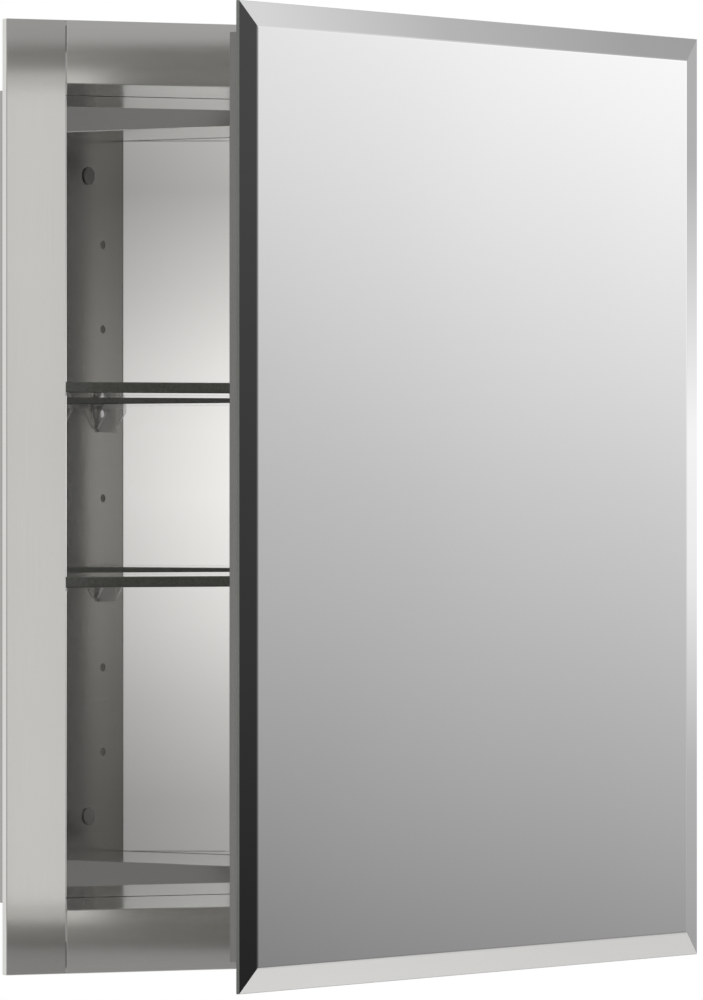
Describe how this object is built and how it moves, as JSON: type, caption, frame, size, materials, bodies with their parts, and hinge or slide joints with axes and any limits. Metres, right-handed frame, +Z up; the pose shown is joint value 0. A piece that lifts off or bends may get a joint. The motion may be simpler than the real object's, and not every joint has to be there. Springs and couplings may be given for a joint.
{
  "type": "medicine cabinet with mirror",
  "caption": "Recessed bathroom medicine cabinet with a bevelled, framed mirror door, mirrored inside, and two clear glass shelves.",
  "frame": {"origin": "centre of the back face of the box", "axes": "+X to the right seen from the front, +Y into the wall, +Z up; the door is on the -Y side"},
  "size_m": [0.4024, 0.3248, 0.51],
  "materials": {
    "satin_aluminium": "satin",
    "galvanised_sheet": "satin",
    "silvered_glass": "polished",
    "clear_glass": "polished",
    "clear_plastic": "gloss",
    "nickel_steel": "satin",
    "foam_tape": "matte",
    "filler_board": "matte",
    "black_rubber": "matte",
    "magnet_iron": "matte",
    "white_plastic": "satin"
  },
  "bodies": {
    "cabinet": {"left_stile": "satin_aluminium", "right_stile": "satin_aluminium", "top_rail": "satin_aluminium", "bottom_rail": "satin_aluminium", "upper_left_corner_bracket": "galvanised_sheet", "upper_right_corner_bracket": "galvanised_sheet", "lower_left_corner_bracket": "galvanised_sheet", "lower_right_corner_bracket": "galvanised_sheet", "left_side": "satin_aluminium", "right_side": "satin_aluminium", "top_panel": "satin_aluminium", "bottom_panel": "satin_aluminium", "back_panel": "galvanised_sheet", "mirror_tape": "foam_tape", "back_mirror": "silvered_glass", "left_hole_plugs": "white_plastic", "right_hole_plugs": "white_plastic", "upper_left_front_clip": "clear_plastic", "upper_left_rear_clip": "clear_plastic", "upper_right_front_clip": "clear_plastic", "upper_right_rear_clip": "clear_plastic", "lower_left_front_clip": "clear_plastic", "lower_left_rear_clip": "clear_plastic", "lower_right_front_clip": "clear_plastic", "lower_right_rear_clip": "clear_plastic", "upper_hinge_stile_leaf": "nickel_steel", "lower_hinge_stile_leaf": "nickel_steel", "upper_hinge_pin": "nickel_steel", "lower_hinge_pin": "nickel_steel", "stile_hinge_screws": "nickel_steel"},
    "door": {"front_mirror": "silvered_glass", "mirror_backing": "galvanised_sheet", "door_hinge_stile": "satin_aluminium", "door_latch_stile": "satin_aluminium", "door_top_rail": "satin_aluminium", "door_bottom_rail": "satin_aluminium", "door_core": "filler_board", "inner_mirror": "silvered_glass", "inner_mirror_gasket": "black_rubber", "door_corner_keys": "galvanised_sheet", "latch_magnets": "magnet_iron", "door_bumpers": "clear_plastic", "upper_hinge_door_leaf": "nickel_steel", "lower_hinge_door_leaf": "nickel_steel", "door_hinge_screws": "nickel_steel"},
    "upper_glass_shelf": {"upper_shelf": "clear_glass"},
    "lower_glass_shelf": {"lower_shelf": "clear_glass"}
  },
  "joints": [
    {"name": "door_hinge", "type": "hinge", "parent": "cabinet", "child": "door", "pos_m": [0.1962, -0.1185, 0], "axis": [0, 0, 1], "range_deg": [-29, 76]},
    {"name": "upper_shelf_lift", "type": "slide", "parent": "cabinet", "child": "upper_glass_shelf", "axis": [0, 0, 1], "range_m": [0, 0.025]},
    {"name": "lower_shelf_lift", "type": "slide", "parent": "cabinet", "child": "lower_glass_shelf", "axis": [0, 0, 1], "range_m": [0, 0.025]}
  ]
}
